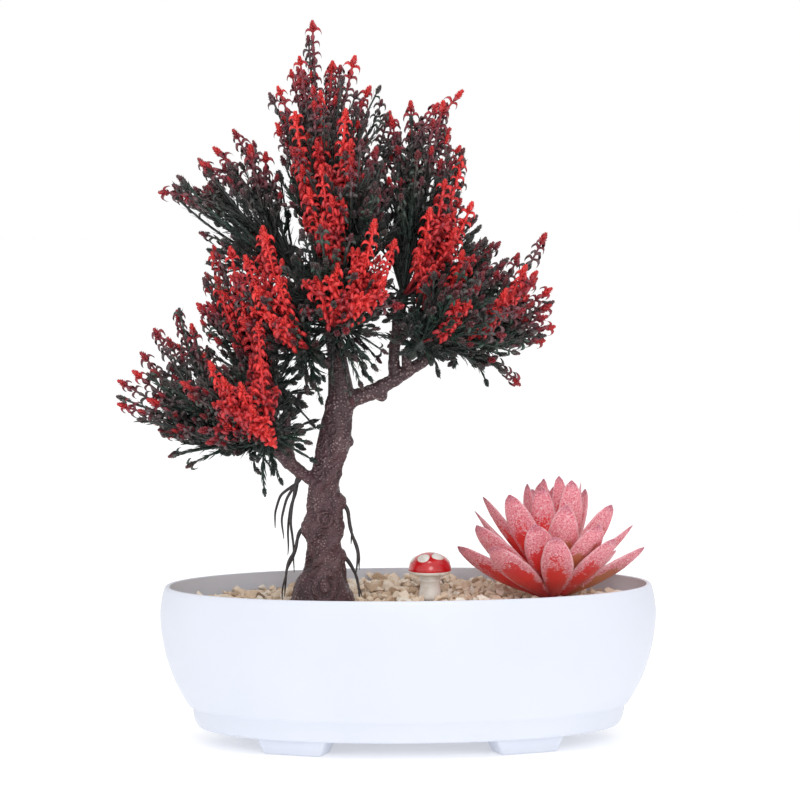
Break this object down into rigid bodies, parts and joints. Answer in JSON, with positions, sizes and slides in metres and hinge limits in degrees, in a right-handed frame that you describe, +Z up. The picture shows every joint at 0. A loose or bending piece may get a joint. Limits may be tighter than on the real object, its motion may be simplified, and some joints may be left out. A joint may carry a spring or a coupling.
{
  "type": "artificial tabletop tree",
  "caption": "Small artificial tree with red and dark green moulded foliage, a succulent and a mushroom on a gravel bed in an oval white footed pot.",
  "frame": {"origin": "on the floor under the middle of the whole object, so the pot's middle is 8.5 mm to its right", "axes": "+Z up, -Y the front, +X to the right along the pot's length"},
  "size_m": [0.2165, 0.1062, 0.2896],
  "materials": {
    "pot_plastic": "satin",
    "foam": "matte",
    "gravel": "matte",
    "bark": "satin",
    "aerial_root": "satin",
    "foliage": "satin",
    "succulent_leaf": "matte",
    "mushroom_cap": "gloss",
    "cream_plastic": "satin"
  },
  "bodies": {
    "pot_and_trunk": {"foam_block": "foam", "gravel_bed": "gravel", "pot": "pot_plastic", "roots_left_lower": "aerial_root", "roots_left_upper": "aerial_root", "roots_right_lower": "aerial_root", "roots_right_upper": "aerial_root", "stone_1": "gravel", "stone_2": "gravel", "stone_3": "gravel", "stone_4": "gravel", "stone_5": "gravel", "stone_6": "gravel", "trunk": "bark"},
    "spray_left_low": {"spray_left_low": "foliage"},
    "spray_left_tall": {"spray_left_tall": "foliage"},
    "spray_left_front": {"spray_left_front": "foliage"},
    "spray_left_back": {"spray_left_back": "foliage"},
    "spray_middle_left": {"spray_middle_left": "foliage"},
    "spray_upper_left": {"spray_upper_left": "foliage"},
    "spray_top": {"spray_top": "foliage"},
    "spray_front": {"spray_front": "foliage"},
    "spray_back": {"spray_back": "foliage"},
    "spray_upper_front": {"spray_upper_front": "foliage"},
    "spray_upper_back": {"spray_upper_back": "foliage"},
    "spray_middle_right": {"spray_middle_right": "foliage"},
    "spray_upper_right": {"spray_upper_right": "foliage"},
    "spray_right": {"spray_right": "foliage"},
    "spray_right_front": {"spray_right_front": "foliage"},
    "spray_right_back": {"spray_right_back": "foliage"},
    "succulent": {"succulent_stem": "cream_plastic", "succulent_leaves_1": "succulent_leaf", "succulent_leaves_2": "succulent_leaf", "succulent_leaves_3": "succulent_leaf", "succulent_leaves_4": "succulent_leaf", "succulent_leaves_5": "succulent_leaf"},
    "mushroom": {"mushroom_stem": "cream_plastic", "mushroom_cap": "mushroom_cap"}
  },
  "joints": [
    {"name": "swivel_left_low", "type": "hinge", "parent": "pot_and_trunk", "child": "spray_left_low", "pos_m": [-0.0465, -0.002, 0.1186], "axis": [-0.9509, -0.0607, 0.3035], "range_deg": [-20, 20]},
    {"name": "swivel_left_tall", "type": "hinge", "parent": "pot_and_trunk", "child": "spray_left_tall", "pos_m": [-0.0413, -0.0014, 0.137], "axis": [-0.4032, -0.121, 0.9071], "range_deg": [-20, 20]},
    {"name": "swivel_left_front", "type": "hinge", "parent": "pot_and_trunk", "child": "spray_left_front", "pos_m": [-0.0415, -0.009, 0.122], "axis": [-0.6202, -0.6202, 0.4802], "range_deg": [-20, 20]},
    {"name": "swivel_left_back", "type": "hinge", "parent": "pot_and_trunk", "child": "spray_left_back", "pos_m": [-0.041, 0.007, 0.1225], "axis": [-0.5489, 0.6986, 0.4591], "range_deg": [-20, 20]},
    {"name": "swivel_middle_left", "type": "hinge", "parent": "pot_and_trunk", "child": "spray_middle_left", "pos_m": [-0.027, -0.007, 0.156], "axis": [-0.4647, -0.7273, 0.5051], "range_deg": [-20, 20]},
    {"name": "swivel_upper_left", "type": "hinge", "parent": "pot_and_trunk", "child": "spray_upper_left", "pos_m": [-0.0295, 0.0014, 0.1845], "axis": [-0.7885, 0.1397, 0.5989], "range_deg": [-20, 20]},
    {"name": "swivel_top", "type": "hinge", "parent": "pot_and_trunk", "child": "spray_top", "pos_m": [-0.0231, 0, 0.191], "axis": [-0.0797, 0, 0.9968], "range_deg": [-20, 20]},
    {"name": "swivel_front", "type": "hinge", "parent": "pot_and_trunk", "child": "spray_front", "pos_m": [-0.02, -0.0085, 0.163], "axis": [-0.0996, -0.6573, 0.747], "range_deg": [-20, 20]},
    {"name": "swivel_back", "type": "hinge", "parent": "pot_and_trunk", "child": "spray_back", "pos_m": [-0.019, 0.007, 0.164], "axis": [-0.02, 0.7998, 0.5999], "range_deg": [-20, 20]},
    {"name": "swivel_upper_front", "type": "hinge", "parent": "pot_and_trunk", "child": "spray_upper_front", "pos_m": [-0.016, -0.007, 0.181], "axis": [0.1002, -0.4208, 0.9016], "range_deg": [-20, 20]},
    {"name": "swivel_upper_back", "type": "hinge", "parent": "pot_and_trunk", "child": "spray_upper_back", "pos_m": [-0.016, 0.007, 0.181], "axis": [0.1403, 0.3608, 0.922], "range_deg": [-20, 20]},
    {"name": "swivel_middle_right", "type": "hinge", "parent": "pot_and_trunk", "child": "spray_middle_right", "pos_m": [0.0129, 0.0024, 0.1686], "axis": [0.7216, 0.2606, 0.6414], "range_deg": [-20, 20]},
    {"name": "swivel_upper_right", "type": "hinge", "parent": "pot_and_trunk", "child": "spray_upper_right", "pos_m": [0.0051, 0, 0.173], "axis": [0.2402, 0, 0.9707], "range_deg": [-20, 20]},
    {"name": "swivel_right", "type": "hinge", "parent": "pot_and_trunk", "child": "spray_right", "pos_m": [0.0207, 0, 0.157], "axis": [0.9326, 0, 0.361], "range_deg": [-20, 20]},
    {"name": "swivel_right_front", "type": "hinge", "parent": "pot_and_trunk", "child": "spray_right_front", "pos_m": [0.01, -0.008, 0.1575], "axis": [0.5192, -0.6191, 0.5891], "range_deg": [-20, 20]},
    {"name": "swivel_right_back", "type": "hinge", "parent": "pot_and_trunk", "child": "spray_right_back", "pos_m": [0.01, 0.008, 0.1575], "axis": [0.4798, 0.6497, 0.5897], "range_deg": [-20, 20]},
    {"name": "succulent_lift", "type": "slide", "parent": "pot_and_trunk", "child": "succulent", "axis": [0, 0, 1], "range_m": [0, 0.03]},
    {"name": "mushroom_lift", "type": "slide", "parent": "pot_and_trunk", "child": "mushroom", "axis": [0, 0, 1], "range_m": [0, 0.03]}
  ]
}
